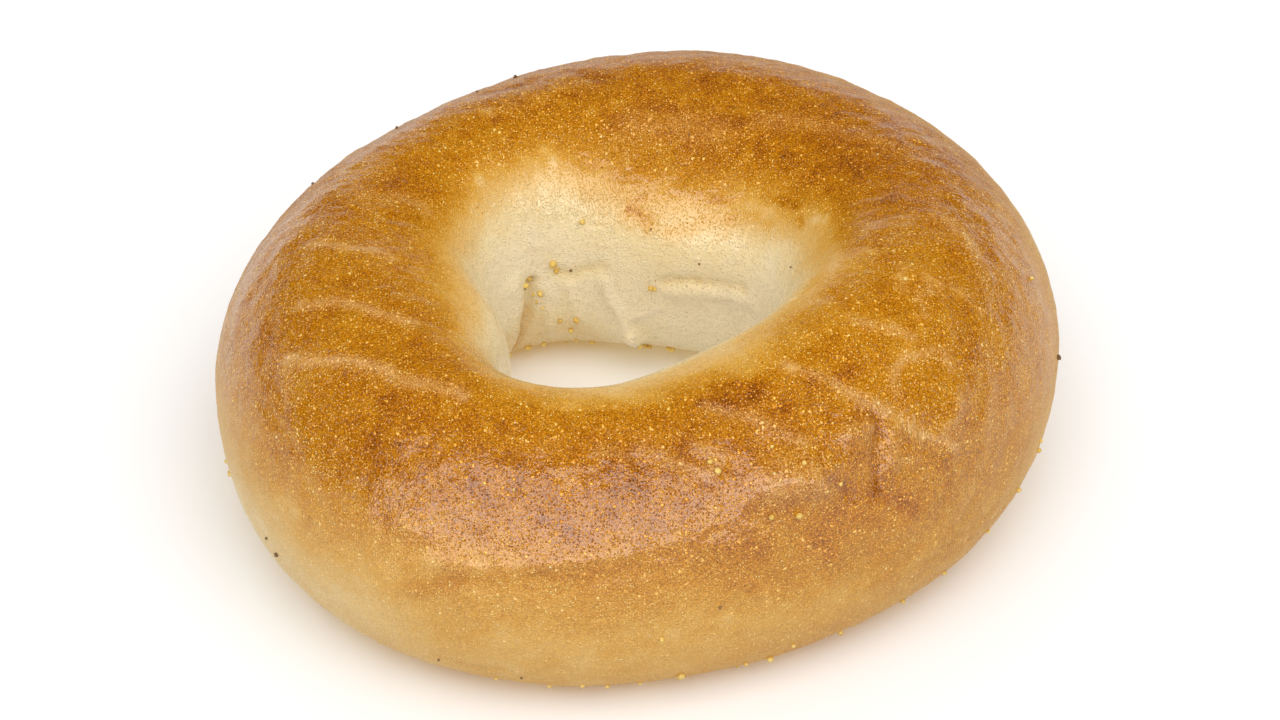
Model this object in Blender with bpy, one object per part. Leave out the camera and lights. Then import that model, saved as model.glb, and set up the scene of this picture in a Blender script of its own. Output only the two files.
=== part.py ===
"""A plain bagel: one uneven ring of baked dough that rests on its flat underside.

Metres, +Z up. The origin is the middle of the bagel's box, on the surface it rests on.

Two angles place everything. "around" goes round the ring, from +X towards +Y. "section" goes round
the dough's own section: 0 is the outer side, 90 the crest, 180 the wall of the hole and 270 the
underside. The lists below give them in degrees, and the functions take radians.
"""

import math

import bpy
from mathutils import Vector

# Driving dimensions of the ring, in metres
OUTER_RADIUS = 0.0542
HOLE_RADIUS = 0.0182
HEIGHT = 0.0385
GIRTH_HEIGHT = 0.466  # height of the widest line, as a share of the crest's height
FLAT_SINK = 0.0012  # how far the rounded underside is pressed flat

# The dough was rolled and bent by hand, so each size swells and shrinks on the way round:
# (swells in one turn, size of the swell, angle around of its highest place)
OUTER_SWELLS = ((1, 0.0018, 76), (2, 0.0030, 34))
HOLE_SWELLS = ((1, 0.0029, -133), (2, 0.0006, 10))
HEIGHT_SWELLS = ((1, 0.0024, -59), (2, 0.0007, -10), (3, 0.0011, -32))

# Shorter swells, which show on the side or on the hole's wall but leave the crest's line alone
SIDE_LOBES = ((3, 0.0005, -32), (4, 0.0005, -28))
WALL_LOBES = ((3, 0.0026, 10), (4, 0.0014, -34), (5, 0.0006, 21))

# Exponents of the section's curves: 1 is an ellipse, less is squarer, more is leaner
SHOULDER_CURVE = 1.14
LIP_CURVE = 0.93
FOOT_CURVE = 0.77

# Folds and hollows of the skin: (around, section, half width of each in degrees, height in metres)
FOLDS = (
    (60, 160, 34, 13, 0.0009),  # browned skin that sags over the far wall of the hole
    (62, 188, 30, 11, -0.0007),  # the wall drawn in below that lip
    (98, 200, 7, 20, 0.0010),  # ridge that runs down the far wall
    (133, 190, 6, 26, -0.0010),  # crease where the wall turns
    (312, 36, 6, 14, -0.0007),  # dent along the seam where the two ends were joined
    (300, 50, 12, 16, 0.0006),  # full shoulder before the seam
    (323, 44, 10, 18, 0.0005),  # full shoulder after the seam
    (262, 62, 20, 16, -0.0004),  # shallow hollow along the near shoulder
)

# Mesh of the ring
SEGMENTS_AROUND = 96
SEGMENTS_SECTION = 40

CRUST_COLOUR = (0.52, 0.26, 0.09, 1.0)
CRUST_ROUGHNESS = 0.38


def swollen(size, swells, around):
    """A size at this place around the ring, with its swells."""
    return size + sum(
        amount * math.cos(count * (around - math.radians(peak))) for count, amount, peak in swells
    )


def signed_power(value, exponent):
    """Turns a circle's coordinate into that of a squarer or a leaner curve."""
    return math.copysign(abs(value) ** exponent, value)


def ring_point(around, section):
    """The dough's surface before its folds."""
    outer = swollen(OUTER_RADIUS, OUTER_SWELLS, around)
    hole = swollen(HOLE_RADIUS, HOLE_SWELLS, around)
    crest_radius = (outer + hole) / 2
    crest = swollen(HEIGHT, HEIGHT_SWELLS, around)
    girth = GIRTH_HEIGHT * crest
    out, up = math.cos(section), math.sin(section)
    if out > 0:
        reach = swollen(outer, SIDE_LOBES, around) - crest_radius
        curve = SHOULDER_CURVE
    else:
        reach = crest_radius - swollen(hole, WALL_LOBES, around)
        curve = LIP_CURVE
    if up < 0:
        curve = FOOT_CURVE
        height = max(0.0, girth + (girth + FLAT_SINK) * signed_power(up, curve))
    else:
        height = girth + (crest - girth) * up**curve
    radius = crest_radius + reach * signed_power(out, curve)
    return Vector((radius * math.cos(around), radius * math.sin(around), height))


def degrees_apart(angle, other):
    """The shorter way between an angle in radians and one in degrees."""
    return (math.degrees(angle) - other + 180) % 360 - 180


def fold_height(around, section):
    """How far the folds lift the skin off the smooth ring."""
    height = 0.0
    for fold_around, fold_section, width_around, width_section, rise in FOLDS:
        across = degrees_apart(around, fold_around) / width_around
        along = degrees_apart(section, fold_section) / width_section
        height += rise * math.exp(-(across**2 + along**2))
    return height


def dough_point(around, section):
    """The dough's surface with its folds, which move it along its own normal."""
    step = math.radians(0.5)
    point = ring_point(around, section)
    along_ring = ring_point(around + step, section) - ring_point(around - step, section)
    along_section = ring_point(around, section + step) - ring_point(around, section - step)
    point += along_ring.cross(along_section).normalized() * fold_height(around, section)
    point.z = max(point.z, 0.0)
    return point


def clear_scene():
    for thing in list(bpy.data.objects):
        bpy.data.objects.remove(thing, do_unlink=True)


def crust_material():
    material = bpy.data.materials.new("baked_crust")
    material.use_nodes = True
    shader = material.node_tree.nodes["Principled BSDF"]
    shader.inputs["Base Color"].default_value = CRUST_COLOUR
    shader.inputs["Roughness"].default_value = CRUST_ROUGHNESS
    shader.inputs["Metallic"].default_value = 0.0
    return material


def make_bagel():
    """A torus whose points are moved onto the dough's surface, then centred over the origin."""
    core_radius = (OUTER_RADIUS + HOLE_RADIUS) / 2
    bpy.ops.mesh.primitive_torus_add(
        major_segments=SEGMENTS_AROUND,
        minor_segments=SEGMENTS_SECTION,
        major_radius=core_radius,
        minor_radius=HEIGHT / 2,
    )
    bagel = bpy.context.object
    bagel.name = "bagel"
    mesh = bagel.data
    for vertex in mesh.vertices:
        x, y, z = vertex.co
        vertex.co = dough_point(math.atan2(y, x), math.atan2(z, math.hypot(x, y) - core_radius))
    for axis in (0, 1):
        places = [vertex.co[axis] for vertex in mesh.vertices]
        middle = (min(places) + max(places)) / 2
        for vertex in mesh.vertices:
            vertex.co[axis] -= middle
    mesh.shade_smooth()
    mesh.materials.append(crust_material())
    return bagel


def main():
    clear_scene()
    collection = bpy.data.collections.new("bagel")
    bpy.context.scene.collection.children.link(collection)
    bagel = make_bagel()
    for home in list(bagel.users_collection):
        home.objects.unlink(bagel)
    collection.objects.link(bagel)


main()
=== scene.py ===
"""Looks of a plain bagel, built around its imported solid.

Metres, +Z up, in the solid's own frame. Two angles in degrees place every mark on the crust: "around" goes
round the ring from +X towards +Y, and "section" goes round the dough itself, from its outer side at 0 over
the crest at 90 to the wall of the hole at 180 and the underside at 270. The camera looks from -Y.
"""
import math
import random

import bmesh
import bpy
import numpy as np
from mathutils import Euler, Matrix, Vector, noise
from mathutils.bvhtree import BVHTree


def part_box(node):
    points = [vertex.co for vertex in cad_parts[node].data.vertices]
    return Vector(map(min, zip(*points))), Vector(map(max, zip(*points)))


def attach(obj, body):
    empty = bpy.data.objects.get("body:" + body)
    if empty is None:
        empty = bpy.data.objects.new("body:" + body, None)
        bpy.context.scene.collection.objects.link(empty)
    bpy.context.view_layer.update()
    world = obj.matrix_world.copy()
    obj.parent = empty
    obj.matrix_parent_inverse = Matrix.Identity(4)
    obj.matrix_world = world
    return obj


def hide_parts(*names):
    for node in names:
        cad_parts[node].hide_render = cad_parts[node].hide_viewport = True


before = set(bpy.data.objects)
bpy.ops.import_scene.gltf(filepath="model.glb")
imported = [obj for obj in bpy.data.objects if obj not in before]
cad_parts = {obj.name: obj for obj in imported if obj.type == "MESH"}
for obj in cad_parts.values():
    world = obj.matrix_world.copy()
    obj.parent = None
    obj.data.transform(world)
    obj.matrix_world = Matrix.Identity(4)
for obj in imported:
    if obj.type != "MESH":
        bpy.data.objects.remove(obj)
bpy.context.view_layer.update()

MM = 0.001

# ---------------------------------------------------------------- the skin's grid

AROUND_STEPS = 480
SECTION_STEPS = 200
FACET_AROUND = 2.2  # the solid's facets are smoothed over these angles
FACET_SECTION = 4.5
CORE_HEIGHT_SHARE = 0.45  # how high the middle of the dough is, as a share of the ring's height
CORE_WAVES = 3  # the middle line keeps its mean and its two broadest waves
BEYOND_RING = 1.0  # a distance well outside the ring

around_grid, section_grid = np.meshgrid(
    np.arange(AROUND_STEPS) * 360 / AROUND_STEPS,
    np.arange(SECTION_STEPS) * 360 / SECTION_STEPS,
    indexing="ij",
)


def blurred(field, around_degrees, section_degrees):
    """A field that repeats round both angles, with what is finer than these angles smoothed away."""
    waves_around = np.fft.fftfreq(field.shape[0], 1 / field.shape[0])[:, None]
    waves_section = np.fft.fftfreq(field.shape[1], 1 / field.shape[1])[None, :]
    spread = (waves_around * math.radians(around_degrees)) ** 2
    spread = spread + (waves_section * math.radians(section_degrees)) ** 2
    return np.fft.ifft2(np.fft.fft2(field) * np.exp(-0.5 * spread)).real


def solid_tree(node):
    """A tree of the solid's faces, to be met by rays."""
    mesh = node.data
    corners = [tuple(vertex.co) for vertex in mesh.vertices]
    faces = [tuple(face.vertices) for face in mesh.polygons]
    return BVHTree.FromPolygons(corners, faces)


def outward(around, section):
    """The direction at two angles, in degrees, seen from the middle of the dough."""
    turn, tilt = math.radians(around), math.radians(section)
    return Vector((math.cos(tilt) * math.cos(turn), math.cos(tilt) * math.sin(turn), math.sin(tilt)))


def core_radii(tree, height):
    """The radius of the dough's middle line at each step around, kept to its broad shape."""
    radii = []
    for step in range(AROUND_STEPS):
        direction = outward(step * 360 / AROUND_STEPS, 0)
        start = Vector((0, 0, height))
        wall = tree.ray_cast(start, direction)[3]
        side = BEYOND_RING - tree.ray_cast(start + direction * BEYOND_RING, -direction)[3]
        radii.append((wall + side) / 2)
    waves = np.fft.rfft(radii)
    waves[CORE_WAVES:] = 0
    return np.fft.irfft(waves, AROUND_STEPS)


def measured_skin(node):
    """Points on the solid's surface at every pair of angles, with its facets smoothed."""
    tree = solid_tree(node)
    low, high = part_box(node.name)
    core_height = CORE_HEIGHT_SHARE * high.z
    radii = core_radii(tree, core_height)
    reach = np.empty((AROUND_STEPS, SECTION_STEPS))
    directions = np.empty((AROUND_STEPS, SECTION_STEPS, 3))
    cores = np.empty((AROUND_STEPS, 1, 3))
    for step in range(AROUND_STEPS):
        around = step * 360 / AROUND_STEPS
        core = outward(around, 0) * radii[step] + Vector((0, 0, core_height))
        cores[step, 0] = core
        for turn in range(SECTION_STEPS):
            direction = outward(around, turn * 360 / SECTION_STEPS)
            directions[step, turn] = direction
            reach[step, turn] = tree.ray_cast(core, direction)[3]
    reach = blurred(reach, FACET_AROUND, FACET_SECTION)
    points = cores + directions * reach[..., None]
    points[..., 2] = np.maximum(points[..., 2], low.z)
    return points


def grid_normals(points):
    """Unit normals that point out of the dough."""
    along_ring = np.roll(points, -1, axis=0) - np.roll(points, 1, axis=0)
    along_section = np.roll(points, -1, axis=1) - np.roll(points, 1, axis=1)
    normals = np.cross(along_ring, along_section)
    return normals / np.linalg.norm(normals, axis=2, keepdims=True)


skin = measured_skin(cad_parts["bagel"])
skin_normals = grid_normals(skin)


def on_skin(field, around, section):
    """A field of the grid read between its points, at one pair of angles."""
    row = around % 360 / 360 * AROUND_STEPS
    column = section % 360 / 360 * SECTION_STEPS
    low_row, low_column = int(row), int(column)
    share_row, share_column = row - low_row, column - low_column
    value = 0
    for step_row, weight_row in ((0, 1 - share_row), (1, share_row)):
        for step_column, weight_column in ((0, 1 - share_column), (1, share_column)):
            corner = field[(low_row + step_row) % AROUND_STEPS, (low_column + step_column) % SECTION_STEPS]
            value = value + corner * weight_row * weight_column
    return value


# ---------------------------------------------------------------- fields over the skin

LUMP_FADING = 0.8  # how fast the finer octaves of the lumps fade
LUMP_STEP = 2.1  # how much finer each octave is than the one before
WOBBLE = 0.5 * MM  # about how far the edges of the marks wander
PATH_SPACING = 0.0004  # between the points along a mark's path
STROKE_REACH = 2.5  # a stroke has faded out at this many half widths
POINTS_AT_ONCE = 40  # of a path, when distances to it are worked out


def smooth_step(low, high, values):
    """0 at low and 1 at high, with a soft slope between them. high may be less than low."""
    share = np.clip((values - low) / (high - low), 0, 1)
    return share * share * (3 - 2 * share)


def lumps(size, octaves, place):
    """Soft noise of about -1 to 1 over the skin, with lumps of this size. Each place has its own pattern."""
    shift = Vector((place, 2.7 * place, -1.3 * place))
    values = [
        noise.fractal(Vector(point) / size + shift, LUMP_FADING, LUMP_STEP, octaves)
        for point in skin.reshape(-1, 3).tolist()
    ]
    return np.array(values).reshape(skin.shape[:2])


wobble = np.stack([lumps(3.5 * MM, 2, place) for place in (11.0, 12.0, 13.0)], axis=-1)
wobbled_skin = skin + WOBBLE * wobble
speckle = lumps(1.4 * MM, 2, 14.0)  # makes a mark's colour uneven


def wrapped(angles, middle):
    """Angles as their shorter way from a middle angle."""
    return (angles - middle + 180) % 360 - 180


section_up = wrapped(section_grid, 90) + 90  # the section as -90 to 270


def round_ring(stops):
    """A smooth curve through (around, value) stops, read at every step around."""
    stops = sorted(stops)
    arounds = np.array([stop[0] for stop in stops], float)
    values = np.array([stop[1] for stop in stops], float)
    arounds = np.concatenate([[arounds[-1] - 360], arounds, [arounds[0] + 360]])
    values = np.concatenate([[values[-1]], values, [values[0]]])
    place = np.searchsorted(arounds, around_grid, side="right") - 1
    share = (around_grid - arounds[place]) / (arounds[place + 1] - arounds[place])
    share = share * share * (3 - 2 * share)
    return values[place] * (1 - share) + values[place + 1] * share


def path_points(path):
    """Points along a smooth curve on the skin through (around, section) stops."""
    stops = [np.array(stop, float) for stop in path]
    if len(stops) == 1:
        return on_skin(skin, *stops[0])[None, :]
    stops = [2 * stops[0] - stops[1], *stops, 2 * stops[-1] - stops[-2]]
    found = []
    for before, start, end, after in zip(stops, stops[1:], stops[2:], stops[3:]):
        length = np.linalg.norm(on_skin(skin, *end) - on_skin(skin, *start))
        count = max(2, int(length / PATH_SPACING))
        for step in range(count + 1):
            t = step / count
            stop = 0.5 * (
                2 * start
                + (end - before) * t
                + (2 * before - 5 * start + 4 * end - after) * t**2
                + (3 * start - before - 3 * end + after) * t**3
            )
            found.append(on_skin(skin, *stop))
    return np.array(found)


def stroke(path, half_width):
    """A soft, uneven brush stroke along a path: 1 on the path, fading over its half width in metres."""
    points = path_points(path)
    reach = STROKE_REACH * half_width
    low, high = points.min(0) - reach, points.max(0) + reach
    near = np.all((wobbled_skin > low) & (wobbled_skin < high), axis=2)
    spots = wobbled_skin[near]
    nearest = np.full(len(spots), np.inf)
    for chunk in np.array_split(points, max(1, len(points) // POINTS_AT_ONCE)):
        gaps = np.linalg.norm(spots[:, None, :] - chunk[None, :, :], axis=2)
        nearest = np.minimum(nearest, gaps.min(1))
    field = np.zeros(skin.shape[:2])
    field[near] = np.exp(-((nearest / half_width) ** 2))
    return field


# Where the browned top is half faded, towards the hole and towards the outer side: (around, section)
INNER_EDGE = (
    (10, 125), (30, 134), (50, 143), (70, 146), (90, 143), (110, 132), (130, 123), (150, 124), (170, 133),
    (190, 132), (210, 128), (230, 118), (250, 99), (270, 97), (290, 102), (310, 106), (330, 115), (350, 123),
)
OUTER_EDGE = (
    (10, 48), (60, 54), (100, 49), (140, 46), (170, 36), (190, 19), (210, 16), (230, 23), (250, 26),
    (270, 24), (290, 15), (310, 8), (325, 12), (335, 18), (350, 29),
)
# Where the shine of the crust is half faded towards the outer side: (around, section)
POLISH_EDGE = ((20, 62), (90, 72), (160, 60), (195, 18), (270, 12), (345, 18))
# How far the browned top and the outer side are baked: (around, baking)
TOP_TONES = (
    (10, 0.73), (30, 0.76), (60, 0.74), (100, 0.71), (130, 0.67), (190, 0.66), (230, 0.66), (270, 0.67),
    (295, 0.68), (320, 0.63), (350, 0.65),
)
SIDE_TONES = (
    (10, 0.42), (60, 0.44), (130, 0.48), (170, 0.42), (190, 0.33), (210, 0.28), (230, 0.36), (250, 0.46),
    (270, 0.48), (290, 0.51), (310, 0.54), (330, 0.52), (350, 0.46),
)

# Marks of the crust: (half width in mm, height in mm, change of baking, path of (around, section)). Where
# noted below, the change of baking is painted shade in a groove or painted light on a fold
MARKS = (
    # pale stretched creases across the ring, on the side of -X
    (1.5, 0.05, -0.12, ((166, 118), (167, 108), (169, 98), (169, 88))),
    (1.1, 0.12, -0.22, ((194, 109), (192, 102), (190, 92), (187, 84), (186, 78))),
    (1.1, 0.12, -0.21, ((218, 103), (213, 95), (208, 88), (204, 78), (201, 71))),
    (1.0, 0.14, -0.24, ((239, 84), (234, 84), (228, 80), (220, 76), (214, 66), (209, 58))),
    (1.3, 0.04, -0.14, ((209, 58), (211, 52), (214, 46))),
    (1.2, 0.03, 0.08, ((199, 54), (204, 53), (207, 49))),
    (0.7, -0.04, 0.12, ((215, 45), (216, 39))),
    # pale streak and darker patches of the far crest
    (1.6, 0.06, -0.11, ((20, 82), (30, 89), (40, 97), (48, 103), (55, 108))),
    (3.6, 0.05, -0.10, ((66, 120), (80, 120), (92, 118))),
    (2.2, 0.0, 0.06, ((8, 118), (18, 118))),
    (2.4, 0.0, 0.06, ((20, 103), (28, 103))),
    (1.8, 0.0, 0.06, ((0, 92), (4, 102))),
    (1.4, 0.0, 0.09, ((39, 120), (43, 120))),
    (1.2, -0.04, 0.17, ((61, 112), (67, 113))),
    (1.4, 0.0, 0.07, ((43, 92), (48, 93))),
    (0.7, -0.03, 0.12, ((80, 111), (90, 110))),
    (2.4, 0.0, 0.06, ((158, 112), (164, 98))),
    # wrinkles on the far crest, their grooves darkened with painted shade and their raised folds paled with
    # painted light
    (0.9, -0.16, 0.12, ((96, 91), (101, 86), (104, 79), (106, 75))),
    (0.8, -0.14, 0.11, ((104, 99), (109, 95), (113, 98), (121, 99), (138, 97))),
    (2.0, 0.14, -0.07, ((102, 93), (110, 89), (122, 92))),
    (0.7, -0.14, 0.14, ((113, 78), (118, 76), (124, 71))),
    (0.9, 0.08, -0.10, ((128, 93), (128, 91))),
    # pale stretch marks and blister edges on both sides of the seam
    (0.8, 0.12, -0.22, ((282, 85), (287, 80), (290, 75), (292, 69), (296, 62))),
    (0.8, 0.11, -0.20, ((270, 74), (274, 70), (277, 65), (280, 61))),
    (0.8, 0.09, -0.18, ((279, 72), (283, 66), (281, 61))),
    (0.9, 0.05, -0.13, ((264, 74), (268, 71))),
    (
        0.75, 0.14, -0.24,
        ((299, 88), (304, 77), (306, 71), (309, 64), (312, 56), (314, 47), (318, 37), (320, 29)),
    ),
    (0.7, 0.20, -0.20, ((314, 62), (315, 66), (318, 68), (322, 66), (325, 62), (325, 56))),
    (0.9, 0.09, -0.17, ((316, 88), (320, 80), (323, 72))),
    (0.8, 0.26, -0.14, ((323, 48), (323, 43), (321, 41), (319, 41))),
    (0.8, 0.08, -0.13, ((328, 74), (331, 79), (334, 78))),
    (1.1, 0.08, -0.11, ((336, 80), (338, 70), (338, 60))),
    (0.8, 0.06, -0.10, ((330, 85), (336, 88))),
    (1.3, 0.06, -0.12, ((351, 68), (354, 75), (358, 84))),
    (1.1, 0.08, -0.14, ((330, 111), (340, 116), (348, 121))),
    (0.9, 0.06, -0.11, ((347, 99), (352, 94), (356, 93))),
    (1.1, 0.05, -0.09, ((349, 107), (358, 108))),
    # the seam, with a smooth swelling, a fold, a blister and pits beside it. The fold lines and pits are
    # darkened with painted shade, and the swelling is paled with painted highlight
    (2.6, 1.15, -0.17, ((289, 51), (293, 51), (297, 46))),
    (0.6, -0.30, 0.10, ((298, 55), (298, 48), (300, 41), (302, 34))),
    (0.7, -0.62, 0.12, ((302, 64), (307, 62), (309, 58), (308, 52), (307, 44), (306, 35))),
    (1.4, 0.75, -0.12, ((304, 60), (307, 57))),
    (0.9, 0.60, -0.08, ((311, 52), (310, 45), (309, 38))),
    (0.7, 0.28, -0.13, ((311, 40), (312, 36))),
    (0.6, -0.18, 0.14, ((299, 46), (299, 45))),
    (0.6, -0.18, 0.14, ((301, 40), (301, 39))),
    (1.4, -0.06, 0.13, ((306, 31), (308, 25), (311, 16))),
    (2.4, 0.0, 0.03, ((300, 36), (305, 32))),
    (1.7, 0.0, 0.09, ((296, 16), (299, 9))),
    # deeper band and dark patches of the near side
    (7.0, 0.0, 0.10, ((232, 60), (245, 55), (262, 55), (280, 60))),
    (0.9, -0.05, 0.20, ((281, 86), (286, 84), (290, 83), (293, 82))),
    (0.7, -0.03, 0.16, ((284, 93), (288, 89), (292, 85))),
    (1.1, 0.0, 0.12, ((291, 76), (296, 75))),
    (1.3, 0.0, 0.12, ((302, 78), (310, 75))),
    (1.8, 0.0, 0.08, ((267, 68), (269, 61))),
    (1.6, -0.08, 0.06, ((246, 53), (250, 51))),
    (0.8, -0.12, 0.16, ((260, 41), (263, 40))),
    (0.6, -0.07, 0.12, ((255, 47), (258, 43))),
    (0.7, -0.10, 0.14, ((247, 36), (248, 34))),
    (0.8, -0.07, 0.10, ((235, 31), (237, 29))),
    (1.3, 0.0, 0.13, ((241, 2), (247, 12))),
    (1.5, 0.0, 0.07, ((282, 29), (287, 26))),
    # a raised lip along the lower edge of the near shine, paled with painted highlight
    (1.2, 0.34, -0.08, ((243, 17), (250, 20), (258, 26), (268, 30))),
    # deep orange border of the browned top, on the side of +X
    (1.0, 0.0, 0.04, ((3, 93), (354, 85), (347, 76), (341, 68), (335, 60), (329, 53))),
    (1.1, 0.0, 0.04, ((335, 60), (329, 53), (326, 45), (322, 36), (318, 26))),
    (0.8, 0.0, 0.06, ((318, 26), (317, 15), (315, 3))),
    (
        1.6, 0.06, -0.08,
        ((357, 79), (350, 70), (344, 62), (338, 54), (331, 40), (327, 26), (323, 12), (319, -2)),
    ),
    # streaks on the lip of the far wall
    (0.8, -0.08, 0.24, ((82, 157), (88, 156), (94, 153))),
    (0.7, -0.06, 0.16, ((88, 148), (93, 153))),
    (0.6, -0.04, 0.16, ((50, 146), (55, 148))),
    (0.9, 0.0, 0.10, ((28, 146), (44, 151), (57, 157), (69, 160), (85, 160))),
    (0.9, 0.0, 0.16, ((24, 134), (29, 136), (36, 138))),
    (0.6, -0.04, 0.14, ((16, 136), (18, 136))),
    # folds of the pale wall: the creases are darkened with painted shade, and the ridges, knob and shelf
    # paled with painted light
    (0.9, -0.55, 0.10, ((27, 176), (36, 177), (49, 178), (64, 179), (72, 180))),
    (1.4, 0.55, -0.08, ((24, 179), (33, 181), (43, 182), (55, 184), (68, 184))),
    (1.0, 0.30, 0.0, ((30, 178), (28, 184), (30, 190))),
    (0.9, -0.34, 0.12, ((129, 184), (123, 183), (116, 181), (112, 179))),
    (0.9, 0.50, -0.05, ((110, 187), (107, 193), (104, 197), (100, 202), (97, 209))),
    (1.4, 1.50, -0.10, ((95, 210), (93, 212))),
    (0.6, 0.36, -0.10, ((94, 199), (84, 196), (76, 193))),
    (0.7, -1.30, 0.07, ((137, 190), (138, 202), (138, 213), (139, 223), (139, 236))),
    (1.5, 0.70, 0.0, ((145, 186), (144, 200), (143, 215), (143, 232))),
    (0.9, 0.34, -0.03, ((132, 195), (131, 208), (130, 220))),
    (0.8, 0.30, -0.03, ((126, 191), (123, 202), (120, 211))),
    (0.9, 0.30, -0.05, ((134, 138), (135, 151), (135, 165))),
    (0.8, 0.26, -0.04, ((127, 141), (128, 154), (130, 167))),
    # small wrinkles near the foot, darkened with painted shade in their grooves
    (0.7, -0.12, 0.06, ((243, -36), (247, -38), (252, -37))),
    (0.7, -0.12, 0.05, ((313, -20), (322, -17), (334, -18))),
    (0.7, -0.10, 0.05, ((312, -26), (322, -24), (332, -26))),
)
# Places where the skin is finely wrinkled along the section: (half width in mm, strength, path). The
# wrinkles' grooves are also darkened with painted shade
WRINKLES = (
    (3.0, 0.45, ((298, 56), (300, 46), (303, 36))),
    (2.4, 0.6, ((307, 60), (308, 46), (309, 32))),
    (3.0, 0.8, ((314, 44), (316, 30), (316, 14))),
    (4.0, 0.4, ((334, 70), (328, 52), (322, 30))),
    (5.0, 0.8, ((324, 20), (320, 2), (318, -14))),
    (3.5, 0.4, ((236, 44), (238, 32), (240, 24))),
    (4.0, 0.6, ((228, 86), (216, 72), (210, 56))),
    (3.0, 0.5, ((100, 92), (112, 86), (124, 84))),
    (3.5, 0.3, ((106, 148), (122, 150), (136, 146))),
)
# Small pale blisters that stand out: (around, section)
SEEN_BLISTERS = (
    (97, 106), (103, 107), (122, 121), (144, 121), (121, 98), (120, 127), (9, 125), (12, 129), (40, 88),
    (333, 87), (341, 102), (319, 118), (60, 88), (84, 101), (77, 107), (10, 51), (300, 85), (128, 91),
)

# Fades, from none to full: (start, end) in degrees of section
INNER_FADE = (-24, 24)  # of the browned top, about its inner edge
OUTER_FADE = (-34, 30)  # of the browned top, about its outer edge
LIP_FADE = (-44, -12)  # of the wall's tint under the browned lip
WALL_FOOT_FADE = (192, 228)  # of the wall's tint towards its foot
SIDE_FOOT_FADE = (5, -26)  # of the paler foot of the outer side
UNDERSIDE_FADE = (-48, -72)  # of the outer side into the underside
WALL_END_FADE = (225, 262)  # of the wall into the tones of the outer side, under the dough
POLISH_FADE = (-26, 26)  # of the shine, about its outer edge
POLISH_END_FADE = (250, 225)  # of the shine, at the foot of the wall
WALL_POLISH_FADE = (156, 176)  # of the crust's shine into the wall's weaker one
WALL_POLISH_LOSS = 0.5  # the share of the shine that the wall lacks

# Baking of the lower parts, from 0 to 1
WALL_BAKING = 0.03
LIP_TINT = 0.18
WALL_FOOT_TINT = 0.19
UNDERSIDE_BAKING = 0.50
SIDE_FOOT_PALING = 0.07
CRUSTY_BAKING = (0.25, 0.6)  # between these bakings the smooth dough turns into crust

EDGE_DRIFT = 6  # about how many degrees the edges of the browned top wander
MARK_PALING = 0.5  # a pale mark takes this share of its change off the baking, and gets a pale layer too, partly its own colour and partly painted sheen
MARK_MILK_AND_SHEEN = 1.15  # the pale layer's strength, for each 1 of change

# Soft unevenness of the skin: (height in mm, a lump's size in mm, octaves, place of its pattern)
CRUST_UNEVENNESS = ((0.20, 13, 2, 1.0), (0.19, 3.6, 3, 2.0))
DOUGH_UNEVENNESS = ((0.16, 9, 2, 3.0), (0.02, 2, 2, 5.0))

SEEN_BLISTER = (0.75, 0.16, -0.16)  # radius in mm, height in mm, change of baking
FAINT_BLISTERS = 420  # how many are tried; those on smooth dough are left out
FAINT_SECTIONS = (-40, 150)
FAINT_RADII = (0.5, 1.0)  # in mm
FAINT_HEIGHTS = (0.02, 0.08)  # in mm
FAINT_CHANGES = (-0.09, 0.02)  # of baking
FOOT_GAP = 0.2 * MM  # the crust stands on its dusting of grains
FOOT_ROUGHNESS = 0.6  # how uneven that gap is, as a share of it
FOOT_HOLLOWS = 0.25 * MM  # how far parts of the underside are lifted off the floor


def browned():
    """How far each place is baked: 0 is raw-looking dough, 1 is the darkest brown."""
    drift = EDGE_DRIFT * lumps(9 * MM, 4, 4.0)
    inner_gap = round_ring(INNER_EDGE) + drift - section_up
    outer_gap = section_up - round_ring(OUTER_EDGE) + drift
    shown = smooth_step(*INNER_FADE, inner_gap) * smooth_step(*OUTER_FADE, outer_gap)
    wall = WALL_BAKING + LIP_TINT * smooth_step(*LIP_FADE, inner_gap) + 0.04 * lumps(6 * MM, 3, 8.0)
    wall = wall + WALL_FOOT_TINT * smooth_step(*WALL_FOOT_FADE, section_up)
    under = UNDERSIDE_BAKING + 0.08 * lumps(12 * MM, 3, 6.0)
    beside = round_ring(SIDE_TONES) + 0.05 * lumps(8 * MM, 3, 7.0)
    beside = beside - SIDE_FOOT_PALING * smooth_step(*SIDE_FOOT_FADE, section_up)
    beside = beside + (under - beside) * smooth_step(*UNDERSIDE_FADE, section_up)
    wall = wall + (beside - wall) * smooth_step(*WALL_END_FADE, section_up)
    lower = np.where(section_up < 90, beside, wall)
    top = round_ring(TOP_TONES) + 0.06 * lumps(5 * MM, 4, 9.0)
    return lower + (top - lower) * shown


def polished():
    """How glossy each place is: 1 on the browned top, less on the wall, 0 below the shine's edge."""
    field = smooth_step(*POLISH_FADE, section_up - round_ring(POLISH_EDGE))
    field = field * smooth_step(*POLISH_END_FADE, section_up)
    return field * (1 - WALL_POLISH_LOSS * smooth_step(*WALL_POLISH_FADE, section_up))


def uneven(layers):
    """The height in metres of some layers of lumps, laid over each other."""
    return sum(rise * lumps(size * MM, octaves, place) for rise, size, octaves, place in layers) * MM


bake_and_painted_light = browned()
polish = polished()
wrinkles = np.zeros_like(bake_and_painted_light)
for half_width, strength, path in WRINKLES:
    wrinkles = np.maximum(wrinkles, strength * stroke(path, half_width * MM))
height = np.zeros_like(bake_and_painted_light)
milk_and_sheen = np.zeros_like(bake_and_painted_light)
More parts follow.
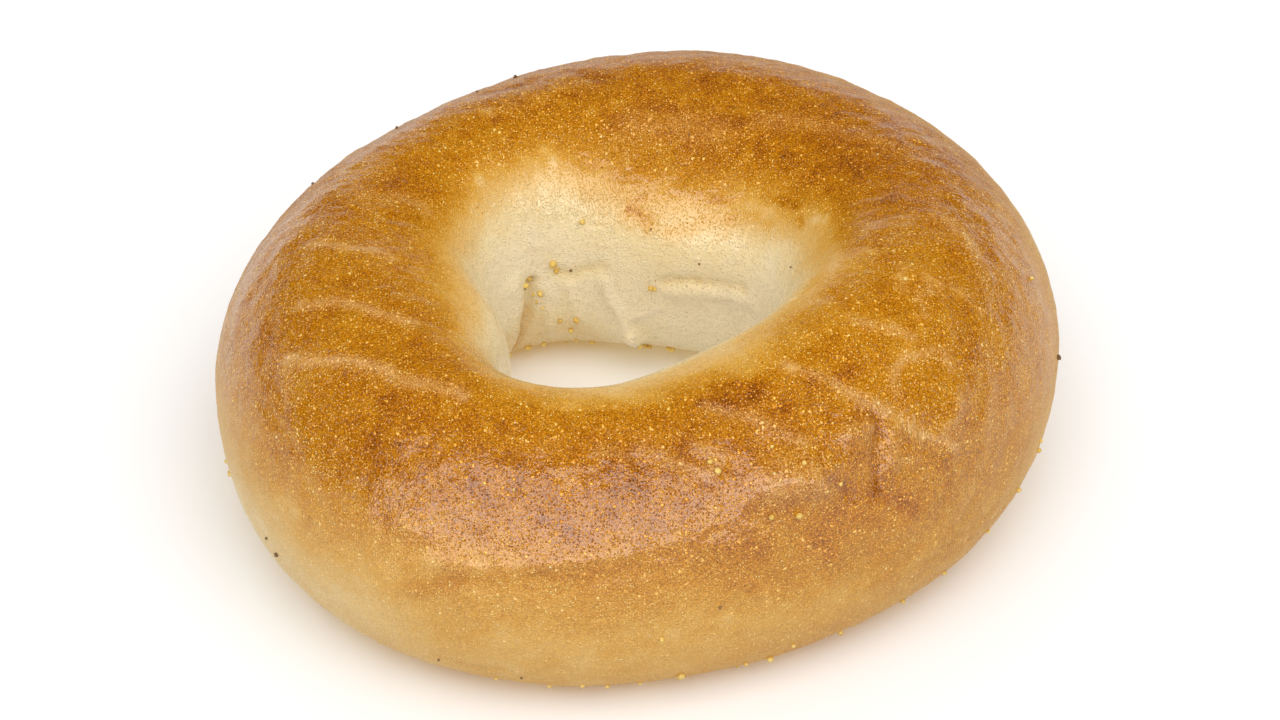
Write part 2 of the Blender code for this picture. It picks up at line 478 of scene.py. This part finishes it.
# each mark changes the baking; in grooves and on raised folds that change is painted shade and painted light
for half_width, rise, change, path in MARKS:
    mark = stroke(path, half_width * MM)
    height += mark * rise * MM
    bake_and_painted_light += mark * (change if change > 0 else MARK_PALING * change) * (1 + 0.7 * speckle)
    # the pale layer of a pale mark is partly its own colour, partly painted sheen
    milk_and_sheen += mark * max(0, -change) * MARK_MILK_AND_SHEEN * (1 + 0.5 * speckle)

crusty = smooth_step(*CRUSTY_BAKING, bake_and_painted_light)
height += crusty * uneven(CRUST_UNEVENNESS)
height += (1 - crusty) * uneven(DOUGH_UNEVENNESS)


def add_blisters():
    """Small domes in the crust: those that stand out, and many faint ones scattered over the browned part."""
    chance = random.Random(7)
    domes = [(around, section, *SEEN_BLISTER) for around, section in SEEN_BLISTERS]
    for attempt in range(FAINT_BLISTERS):
        around = chance.uniform(0, 360)
        section = chance.uniform(*FAINT_SECTIONS)
        radius = chance.uniform(*FAINT_RADII)
        rise = chance.uniform(*FAINT_HEIGHTS)
        if on_skin(crusty, around, section) > chance.uniform(0.2, 1.0):
            domes.append((around, section, radius, rise, chance.uniform(*FAINT_CHANGES)))
    for around, section, radius, rise, change in domes:
        dome = stroke(((around, section),), radius * MM)
        height[:] = height + dome * rise * MM
        bake_and_painted_light[:] = bake_and_painted_light + dome * change


add_blisters()
shaped = skin + skin_normals * height[..., None]
underside = FOOT_GAP * (1 + FOOT_ROUGHNESS * lumps(1.6 * MM, 2, 16.0))
underside = underside + np.maximum(FOOT_HOLLOWS * lumps(8 * MM, 2, 17.0), 0)
shaped[..., 2] = np.maximum(shaped[..., 2], underside)


# ---------------------------------------------------------------- mesh

def new_object(name, data):
    """An object that is in the scene."""
    thing = bpy.data.objects.new(name, data)
    bpy.context.scene.collection.objects.link(thing)
    return thing


def skin_mesh(name, points, marks):
    """A closed mesh over the grid, unwrapped by its two angles. marks is {attribute name: field}."""
    rows, columns = points.shape[:2]
    row, column = np.meshgrid(np.arange(rows), np.arange(columns), indexing="ij")
    next_row, next_column = (row + 1) % rows, (column + 1) % columns
    faces = np.stack(
        [
            row * columns + column,
            next_row * columns + column,
            next_row * columns + next_column,
            row * columns + next_column,
        ],
        axis=-1,
    ).reshape(-1, 4)
    mesh = bpy.data.meshes.new(name)
    mesh.from_pydata(points.reshape(-1, 3).tolist(), [], faces.tolist())
    unwrapped = mesh.uv_layers.new(name="OFBake")
    across = np.stack([row, row + 1, row + 1, row], axis=-1) / rows
    along = np.stack([column, column, column + 1, column + 1], axis=-1) / columns
    unwrapped.data.foreach_set("uv", np.stack([across, along], axis=-1).ravel().astype(np.float32))
    for mark, field in marks.items():
        layer = mesh.attributes.new(mark, "FLOAT", "POINT")
        layer.data.foreach_set("value", field.ravel().astype(np.float32))
    mesh.shade_smooth()
    mesh.update()
    return new_object(name, mesh)


# ---------------------------------------------------------------- materials

# Linear colours of the crust from raw-looking to dark: (baking, red, green, blue)
CRUST_COLOURS = (
    (0.00, 0.94, 0.82, 0.58),
    (0.14, 0.92, 0.76, 0.44),
    (0.30, 0.81, 0.52, 0.175),
    (0.44, 0.73, 0.385, 0.062),
    (0.58, 0.65, 0.28, 0.017),
    (0.72, 0.58, 0.215, 0.004),
    (0.86, 0.45, 0.140, 0.004),
    (1.00, 0.26, 0.070, 0.004),
)
BRIGHTEST = (0.96, 0.96, 0.96)  # no place of the crust is paler than this
MILK_AND_SHEEN_COLOUR = (0.86, 0.60, 0.38)  # the pale layer over the pale marks: partly their own colour, partly painted sheen, and painted highlight on the seam's swelling and on the lip of the near shine

# How fine each texture is, in cells or lumps to the metre
PEBBLE_SCALE = 3000
GAP_SCALE = 4600  # the darker gaps between pebbles, partly painted shade
BLISTER_SCALE = 1400  # the cells that may hold a tiny blister or a dark speck
MOTTLE_SCALE = 420
DIMPLE_SCALE = 700
BLISTER_SHARE = 0.80  # the share of cells with no blister
SPECK_SHARE = 0.05  # the share of cells with a speck
WRINKLES_AROUND = 330  # wrinkles in a whole turn around the ring
WRINKLES_ALONG = 40

GRAIN_GLINT_AND_SHADE = 0.60  # how far the grain brightens and darkens the colour: partly the crust's own grain, partly painted glints on the pebbles and painted shade in the gaps
GRAIN_TONE = 0.22  # how far it shifts the baking
GRAIN_PAINTED_SPARKLE = 0.06  # how far the grain's painted glints add painted sparkle to the pale layer
SPECK_TONE = 0.45  # how much more baked a dark speck is
GROOVE_PAINTED_SHADE = 0.05  # how much more baked a wrinkle's groove is painted: painted shade in the groove
SKIN_SPECULAR = 0.5
DULL_ROUGHNESS = 0.50
GLOSSY_ROUGHNESS = 0.13
RELIEF_DEPTH = 0.00012  # of the fine relief, in metres, for each 1 of these shares
PEBBLE_RELIEF = 0.80
DIMPLE_RELIEF = 1.6
BLISTER_RELIEF = 0.7
GROOVE_RELIEF = 0.9


class Nodes:
    """Short calls for building one material's nodes."""

    def __init__(self, material):
        material.use_nodes = True
        self.tree = material.node_tree
        self.shader = self.tree.nodes["Principled BSDF"]

    def add(self, kind, inputs=(), **settings):
        node = self.tree.nodes.new(kind)
        for name, value in settings.items():
            setattr(node, name, value)
        for socket, value in dict(inputs).items():
            self.feed(node.inputs[socket], value)
        return node

    def feed(self, socket, value):
        if isinstance(value, bpy.types.NodeSocket):
            self.tree.links.new(value, socket)
        else:
            socket.default_value = value

    def math(self, operation, first, second=0.0, clamp=False):
        node = self.add("ShaderNodeMath", {0: first, 1: second}, operation=operation)
        node.use_clamp = clamp
        return node.outputs[0]

    def plus(self, first, second, clamp=False):
        return self.math("ADD", first, second, clamp)

    def times(self, first, second):
        return self.math("MULTIPLY", first, second)

    def spread(self, value, low, high, to_low=0.0, to_high=1.0):
        """The value carried from low..high to to_low..to_high, and held at its ends."""
        inputs = {"Value": value, "From Min": low, "From Max": high, "To Min": to_low, "To Max": to_high}
        return self.add("ShaderNodeMapRange", inputs).outputs[0]

    def mark(self, name):
        return self.add("ShaderNodeAttribute", attribute_name=name).outputs["Fac"]

    def place(self):
        return self.add("ShaderNodeTexCoord").outputs["Object"]

    def noise(self, scale, detail, roughness=0.5):
        inputs = {"Vector": self.place(), "Scale": scale, "Detail": detail, "Roughness": roughness}
        return self.add("ShaderNodeTexNoise", inputs).outputs["Fac"]

    def cells(self, scale):
        """Scattered cells: the distance to the nearest one's middle, and a number from 0 to 1 for each."""
        cells = self.add("ShaderNodeTexVoronoi", {"Vector": self.place(), "Scale": scale})
        number = self.add("ShaderNodeSeparateColor", {"Color": cells.outputs["Color"]}).outputs["Red"]
        return cells.outputs["Distance"], number

    def ramp(self, value, stops):
        """A colour read from (value, red, green, blue) stops."""
        ramp = self.add("ShaderNodeValToRGB", {"Fac": value})
        elements = ramp.color_ramp.elements
        for stop, *colour in stops[1:-1]:
            elements.new(stop).color = (*colour, 1)
        elements[0].color = (*stops[0][1:], 1)
        elements[-1].color = (*stops[-1][1:], 1)
        return ramp.outputs["Color"]

    def bump(self, height, distance):
        """Fine relief on the shader, this deep in metres."""
        bump = self.add("ShaderNodeBump", {"Height": height, "Distance": distance, "Strength": 1.0})
        self.feed(self.shader.inputs["Normal"], bump.outputs["Normal"])


def crust_grain(nodes, strength):
    """The crust's fine grain: its raised parts, its dark specks, and how bright or dark it makes each spot,
    partly with painted glints on the pebbles and painted shade in the gaps between them.

    Distances are in cells, so a cell's middle is at 0 and its edge at about 0.5.
    """
    to_pebble, rank = nodes.cells(PEBBLE_SCALE)
    pebble = nodes.spread(to_pebble, 0.08, 0.42, 1, 0)
    # how bright each pebble is painted: partly its own colour, partly a painted glint
    shine = nodes.spread(rank, 0.25, 0.95, 0.0, 1.5)
    to_blister, chosen = nodes.cells(BLISTER_SCALE)
    blister = nodes.spread(to_blister, 0.10, 0.36, 1, 0)
    blister = nodes.times(blister, nodes.spread(chosen, BLISTER_SHARE, BLISTER_SHARE + 0.08))
    speck = nodes.spread(to_blister, 0.10, 0.20, 1, 0)
    speck = nodes.times(speck, nodes.spread(chosen, SPECK_SHARE, SPECK_SHARE - 0.01))
    gap = nodes.spread(nodes.noise(GAP_SCALE, 2, 0.6), 0.40, 0.61, 0.50, 0.0)
    grain_glint_and_shade = nodes.math("SUBTRACT", nodes.times(pebble, shine), gap)
    grain_glint_and_shade = nodes.times(nodes.plus(grain_glint_and_shade, blister), strength)
    return pebble, blister, speck, grain_glint_and_shade


def crust_grooves(nodes):
    """Thin wrinkles along the section, where the skin is marked as wrinkled."""
    unwrapped = nodes.add("ShaderNodeUVMap", uv_map="OFBake").outputs["UV"]
    scale = (WRINKLES_AROUND, WRINKLES_ALONG, 1)
    stretched = nodes.add("ShaderNodeMapping", {"Vector": unwrapped, "Scale": scale}).outputs[0]
    inputs = {"Vector": stretched, "Scale": 1.0, "Detail": 2.0, "Distortion": 0.6}
    folds = nodes.add("ShaderNodeTexNoise", inputs).outputs["Fac"]
    to_middle = nodes.math("ABSOLUTE", nodes.math("SUBTRACT", folds, 0.5))
    return nodes.times(nodes.spread(to_middle, 0, 0.07, 1, 0), nodes.mark("wrinkles"))


def crust_colour(nodes, baked, strength, speck, grain_glint_and_shade, groove):
    """The colour of each spot's baking and painted light, shaded by the grain with its painted glints and
    shade, under the pale layer of the marks, which is partly painted sheen.
    """
    mottle = nodes.spread(nodes.noise(MOTTLE_SCALE, 4, 0.65), 0.3, 0.7, 0.07, -0.07)
    tone = nodes.plus(baked, nodes.times(mottle, strength))
    # the grooves of the wrinkles are darkened: painted shade in them
    tone = nodes.plus(tone, nodes.times(groove, GROOVE_PAINTED_SHADE))
    tone = nodes.plus(tone, nodes.times(speck, SPECK_TONE))
    tone = nodes.math("SUBTRACT", tone, nodes.times(grain_glint_and_shade, GRAIN_TONE), True)
    level = nodes.plus(nodes.times(grain_glint_and_shade, GRAIN_GLINT_AND_SHADE), 1.0)
    colour = nodes.ramp(tone, CRUST_COLOURS)
    shaded = nodes.add("ShaderNodeVectorMath", {0: colour}, operation="SCALE")
    nodes.feed(shaded.inputs["Scale"], level)
    # the pale layer of the marks, partly painted sheen, brightened by the grain's painted glints
    sheen_and_milk_share = nodes.times(nodes.mark("milk_and_sheen"), nodes.plus(nodes.times(grain_glint_and_shade, 0.6), 0.75))
    sheen_and_milk_share = nodes.plus(sheen_and_milk_share, nodes.times(grain_glint_and_shade, GRAIN_PAINTED_SPARKLE), True)
    sheen_and_milk_mix = nodes.add("ShaderNodeMix", {0: sheen_and_milk_share}, data_type="RGBA")
    nodes.feed(sheen_and_milk_mix.inputs[6], shaded.outputs[0])
    nodes.feed(sheen_and_milk_mix.inputs[7], (*MILK_AND_SHEEN_COLOUR, 1))
    inputs = {0: sheen_and_milk_mix.outputs[2], 1: BRIGHTEST}
    return nodes.add("ShaderNodeVectorMath", inputs, operation="MINIMUM").outputs[0]


def crust_material():
    """Baked skin: pale and smooth where it is raw-looking, brown and grainy where it is well baked."""
    material = bpy.data.materials.new("crust")
    nodes = Nodes(material)
    # the baking, with the painted shade and painted light of the marks added to it
    baked = nodes.mark("bake_and_painted_light")
    # the grain is weak on pale dough and strong on the browned top
    strength = nodes.spread(baked, 0.38, 0.62, 0.4, 1.3)
    strength = nodes.times(strength, nodes.spread(baked, 0.05, 0.35, 0.4, 1.0))
    pebble, blister, speck, grain_glint_and_shade = crust_grain(nodes, strength)
    groove = crust_grooves(nodes)
    colour = crust_colour(nodes, baked, strength, speck, grain_glint_and_shade, groove)
    nodes.feed(nodes.shader.inputs["Base Color"], colour)
    roughness = nodes.spread(nodes.mark("polish"), 0, 1, DULL_ROUGHNESS, GLOSSY_ROUGHNESS)
    nodes.feed(nodes.shader.inputs["Roughness"], roughness)
    nodes.shader.inputs["Specular IOR Level"].default_value = SKIN_SPECULAR
    dimples = nodes.noise(DIMPLE_SCALE, 3, 0.6)
    relief = nodes.plus(nodes.times(pebble, PEBBLE_RELIEF), nodes.times(dimples, DIMPLE_RELIEF))
    relief = nodes.plus(relief, nodes.times(blister, BLISTER_RELIEF))
    relief = nodes.math("SUBTRACT", relief, nodes.times(groove, GROOVE_RELIEF))
    nodes.bump(relief, RELIEF_DEPTH)
    return material


crust_marks = {
    "bake_and_painted_light": np.clip(bake_and_painted_light, 0, 1),
    "milk_and_sheen": np.clip(milk_and_sheen, 0, 1),
    "polish": polish,
    "wrinkles": wrinkles,
}
crust = skin_mesh("crust", shaped, crust_marks)
crust.data.materials.append(crust_material())
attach(crust, "root")
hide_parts("bagel")


# ---------------------------------------------------------------- loose grains

# Grains of cornmeal that stand out: (around, section, radius in mm)
SEEN_GRAINS = (
    # in the hole
    (117, 157, 0.38), (130, 178, 0.45), (129, 183, 0.36), (138, 189, 0.52), (140, 191, 0.42),
    (134, 198, 0.42), (121, 210, 0.44), (127, 213, 0.32), (122, 218, 0.46), (82, 184, 0.36),
    (79, 184, 0.30), (90, 214, 0.40), (133, 236, 0.42), (128, 234, 0.34), (117, 229, 0.30),
    (110, 230, 0.42), (87, 222, 0.44), (85, 223, 0.40), (75, 221, 0.40), (73, 221, 0.46),
    (136, 200, 0.24), (135, 204, 0.22), (133, 207, 0.20),
    # on the crust
    (281, 65, 0.34), (282, 61, 0.40), (291, 64, 0.28), (289, 38, 0.42), (293, 35, 0.40), (295, 55, 0.30),
    (300, 42, 0.30), (273, -19, 0.36), (293, -45, 0.30), (356, 39, 0.32), (333, 86, 0.34), (252, 55, 0.22),
    # along the foot
    (276, -50, 0.52), (286, -52, 0.34), (290, -54, 0.44), (302, -52, 0.40), (313, -47, 0.38),
    (320, -40, 0.36), (329, -33, 0.34), (336, -25, 0.34), (343, -20, 0.32), (343, -15, 0.26),
    (250, -49, 0.30), (262, -50, 0.26),
)
# Dark crumbs stuck to the crust: (around, section, radius in mm)
SEEN_CRUMBS = (
    (353, 4, 0.34), (217, -24, 0.28), (215, -20, 0.20), (114, 56, 0.26), (123, 62, 0.20), (139, 52, 0.20),
    (158, 45, 0.22), (124, 183, 0.18), (2, 147, 0.16), (50, 170, 0.14), (83, 160, 0.16), (342, 46, 0.16),
    (254, -43, 0.20), (243, -38, 0.20), (309, 100, 0.14), (281, -5, 0.16), (73, 123, 0.16), (140, 193, 0.14),
)

UNDERSIDE_GRAINS = 330  # how many are tried; those too far up the sides are left out
UNDERSIDE_SECTIONS = (232, 312)
UNDERSIDE_RADII = (0.16, 0.42)  # in mm
FAR_FOOT_GRAINS = 26
FAR_FOOT_AROUND = (-20, 200)
FAR_FOOT_SECTIONS = (-50, -24)
FAR_FOOT_RADII = (0.18, 0.36)  # in mm
GRAIN_LUMPINESS = 0.35  # how much a grain's radius swells and shrinks, as a share of it
GRAIN_SEAT = 0.45  # how far a grain's middle stands off the crust, as a share of its radius
FULL_TURN = 6.28  # in radians
GRAIN_DRIFT_SCALE = 700  # lumps of colour in each metre
GRAIN_ROUGH_SCALE = 6000  # lumps of fine relief in each metre
GRAIN_RELIEF_DEPTH = 0.00004

# Linear colours: (lightest, darkest)
CORNMEAL_COLOURS = ((0.90, 0.66, 0.18), (0.68, 0.42, 0.07))
CRUMB_COLOURS = ((0.28, 0.15, 0.05), (0.12, 0.06, 0.025))


def scattered_grains(chance):
    """Grains over the underside, and fewer along the foot of the far side."""
    grains = []
    for attempt in range(UNDERSIDE_GRAINS):
        around = chance.uniform(0, 360)
        section = chance.gauss(270, 26)
        if UNDERSIDE_SECTIONS[0] < section < UNDERSIDE_SECTIONS[1]:
            grains.append((around, section, chance.uniform(*UNDERSIDE_RADII)))
    for count in range(FAR_FOOT_GRAINS):
        around = chance.uniform(*FAR_FOOT_AROUND)
        section = chance.uniform(*FAR_FOOT_SECTIONS)
        grains.append((around, section, chance.uniform(*FAR_FOOT_RADII)))
    return grains


def grains_mesh(name, grains, chance):
    """One mesh of small lumpy grains set into the crust."""
    ball = bmesh.new()
    bmesh.ops.create_icosphere(ball, subdivisions=2, radius=1)
    ball_corners = np.array([vertex.co for vertex in ball.verts])
    ball_faces = np.array([[vertex.index for vertex in face.verts] for face in ball.faces])
    ball.free()
    normals = grid_normals(shaped)
    corners, faces = [], []
    for around, section, radius in grains:
        lump = Vector([chance.uniform(-50, 50) for axis in range(3)])
        swell = np.array([noise.noise(Vector(corner) * 1.3 + lump) for corner in ball_corners])
        swell = 1 + GRAIN_LUMPINESS * swell
        stretch = np.array([chance.uniform(0.75, 1.2) for axis in range(3)])
        turn = np.array(Euler([chance.uniform(0, FULL_TURN) for axis in range(3)]).to_matrix())
        grain = (ball_corners * swell[:, None] * stretch) @ turn * radius * MM
        seat = on_skin(shaped, around, section)
        grain = grain + seat + on_skin(normals, around, section) * GRAIN_SEAT * radius * MM
        grain[:, 2] = np.maximum(grain[:, 2], 0)
        faces.append(ball_faces + len(corners) * len(ball_corners))
        corners.append(grain)
    mesh = bpy.data.meshes.new(name)
    mesh.from_pydata(np.concatenate(corners).tolist(), [], np.concatenate(faces).tolist())
    mesh.shade_smooth()
    piece = new_object(name, mesh)
    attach(piece, "root")
    return piece


def grain_material(name, light, dark, roughness):
    """Colour that drifts from grain to grain, with a fine rough surface."""
    material = bpy.data.materials.new(name)
    nodes = Nodes(material)
    tone = nodes.spread(nodes.noise(GRAIN_DRIFT_SCALE, 3), 0.3, 0.7)
    nodes.feed(nodes.shader.inputs["Base Color"], nodes.ramp(tone, ((0, *dark), (1, *light))))
    nodes.shader.inputs["Roughness"].default_value = roughness
    nodes.bump(nodes.noise(GRAIN_ROUGH_SCALE, 2), GRAIN_RELIEF_DEPTH)
    return material


grain_chance = random.Random(11)
cornmeal = grains_mesh("cornmeal", [*SEEN_GRAINS, *scattered_grains(grain_chance)], grain_chance)
cornmeal.data.materials.append(grain_material("cornmeal", *CORNMEAL_COLOURS, 0.45))
crumbs = grains_mesh("crumbs", SEEN_CRUMBS, grain_chance)
crumbs.data.materials.append(grain_material("crumbs", *CRUMB_COLOURS, 0.6))


# ---------------------------------------------------------------- stage, light and camera

CAMERA_LENS = 110.95
CAMERA_DISTANCE = 0.520
CAMERA_ELEVATION = 40.4
CAMERA_TARGET = Vector((0.0001, -0.0021, 0.0160))
SOFTBOX_DISTANCE = 1.0
GLOSS_TINT = (1.0, 0.93, 0.86)  # what the crust mirrors is a little warm
# Softboxes: (name, elevation, azimuth, width, height, radiance, use). Those with the use "diffuse" light the
# dough, and those with "gloss" are only mirrored by it.
SOFTBOXES = (
    ("key", 64, 12, 1.2, 0.8, 2.12, "diffuse"),
    ("low_fill", 6, 5, 2.4, 0.35, 0.48, "diffuse"),
    ("front_gloss", 17, -6, 2.6, 0.42, 6.0, "gloss"),
    ("upper_gloss", 43, -14, 1.1, 0.42, 5.0, "gloss"),
    ("back_gloss", 6, 180, 0.6, 0.24, 0.75, "gloss"),
)
SURROUNDINGS = 0.74  # strength of the even light from all around
FLOOR_HALF = 3.0
FLOOR_DROP = 0.0001  # the floor lies this far under the lowest grains
FLOOR_COLOUR = (0.95, 0.95, 0.95, 1)


def aimed(thing, target):
    thing.rotation_euler = (target - thing.location).to_track_quat("-Z", "Y").to_euler()


def from_target(elevation, azimuth, distance):
    """A place seen from the camera's target; azimuth 0 is the camera's side and 90 is +X."""
    tilt, turn = math.radians(elevation), math.radians(azimuth)
    level = math.cos(tilt)
    direction = Vector((level * math.sin(turn), -level * math.cos(turn), math.sin(tilt)))
    return CAMERA_TARGET + distance * direction


def add_camera():
    data = bpy.data.cameras.new("camera")
    data.lens = CAMERA_LENS
    camera = new_object("camera", data)
    camera.location = from_target(CAMERA_ELEVATION, 0, CAMERA_DISTANCE)
    aimed(camera, CAMERA_TARGET)
    bpy.context.scene.camera = camera


def add_softbox(name, elevation, azimuth, width, height, radiance, use):
    """A rectangle of light, out of the camera's sight."""
    data = bpy.data.lights.new(name, "AREA")
    data.shape = "RECTANGLE"
    data.size = width
    data.size_y = height
    data.energy = radiance * math.pi * width * height
    if use == "gloss":
        data.color = GLOSS_TINT
    light = new_object(name, data)
    light.visible_camera = False
    light.visible_glossy = use == "gloss"
    light.visible_diffuse = use == "diffuse"
    light.location = from_target(elevation, azimuth, SOFTBOX_DISTANCE)
    aimed(light, CAMERA_TARGET)


def add_floor():
    """A plain pale floor. It shows the dough's shadow but throws no light back up at the dough."""
    mesh = bpy.data.meshes.new("floor")
    signs = ((-1, -1), (1, -1), (1, 1), (-1, 1))
    mesh.from_pydata([(x * FLOOR_HALF, y * FLOOR_HALF, 0) for x, y in signs], [], [(0, 1, 2, 3)])
    floor = new_object("floor", mesh)
    floor.location.z = -FLOOR_DROP
    floor.visible_diffuse = False
    material = bpy.data.materials.new("floor")
    material.use_nodes = True
    shader = material.node_tree.nodes["Principled BSDF"]
    shader.inputs["Base Color"].default_value = FLOOR_COLOUR
    shader.inputs["Roughness"].default_value = 0.9
    shader.inputs["Specular IOR Level"].default_value = 0.0
    mesh.materials.append(material)


def add_surroundings():
    """Even light from all around, which the crust doesn't mirror."""
    world = bpy.data.worlds.new("studio")
    bpy.context.scene.world = world
    world.cycles_visibility.glossy = False
    world.use_nodes = True
    background = world.node_tree.nodes["Background"]
    background.inputs["Color"].default_value = (1, 1, 1, 1)
    background.inputs["Strength"].default_value = SURROUNDINGS


add_camera()
for softbox in SOFTBOXES:
    add_softbox(*softbox)
add_floor()
add_surroundings()
bpy.context.scene.view_settings.view_transform = "Standard"
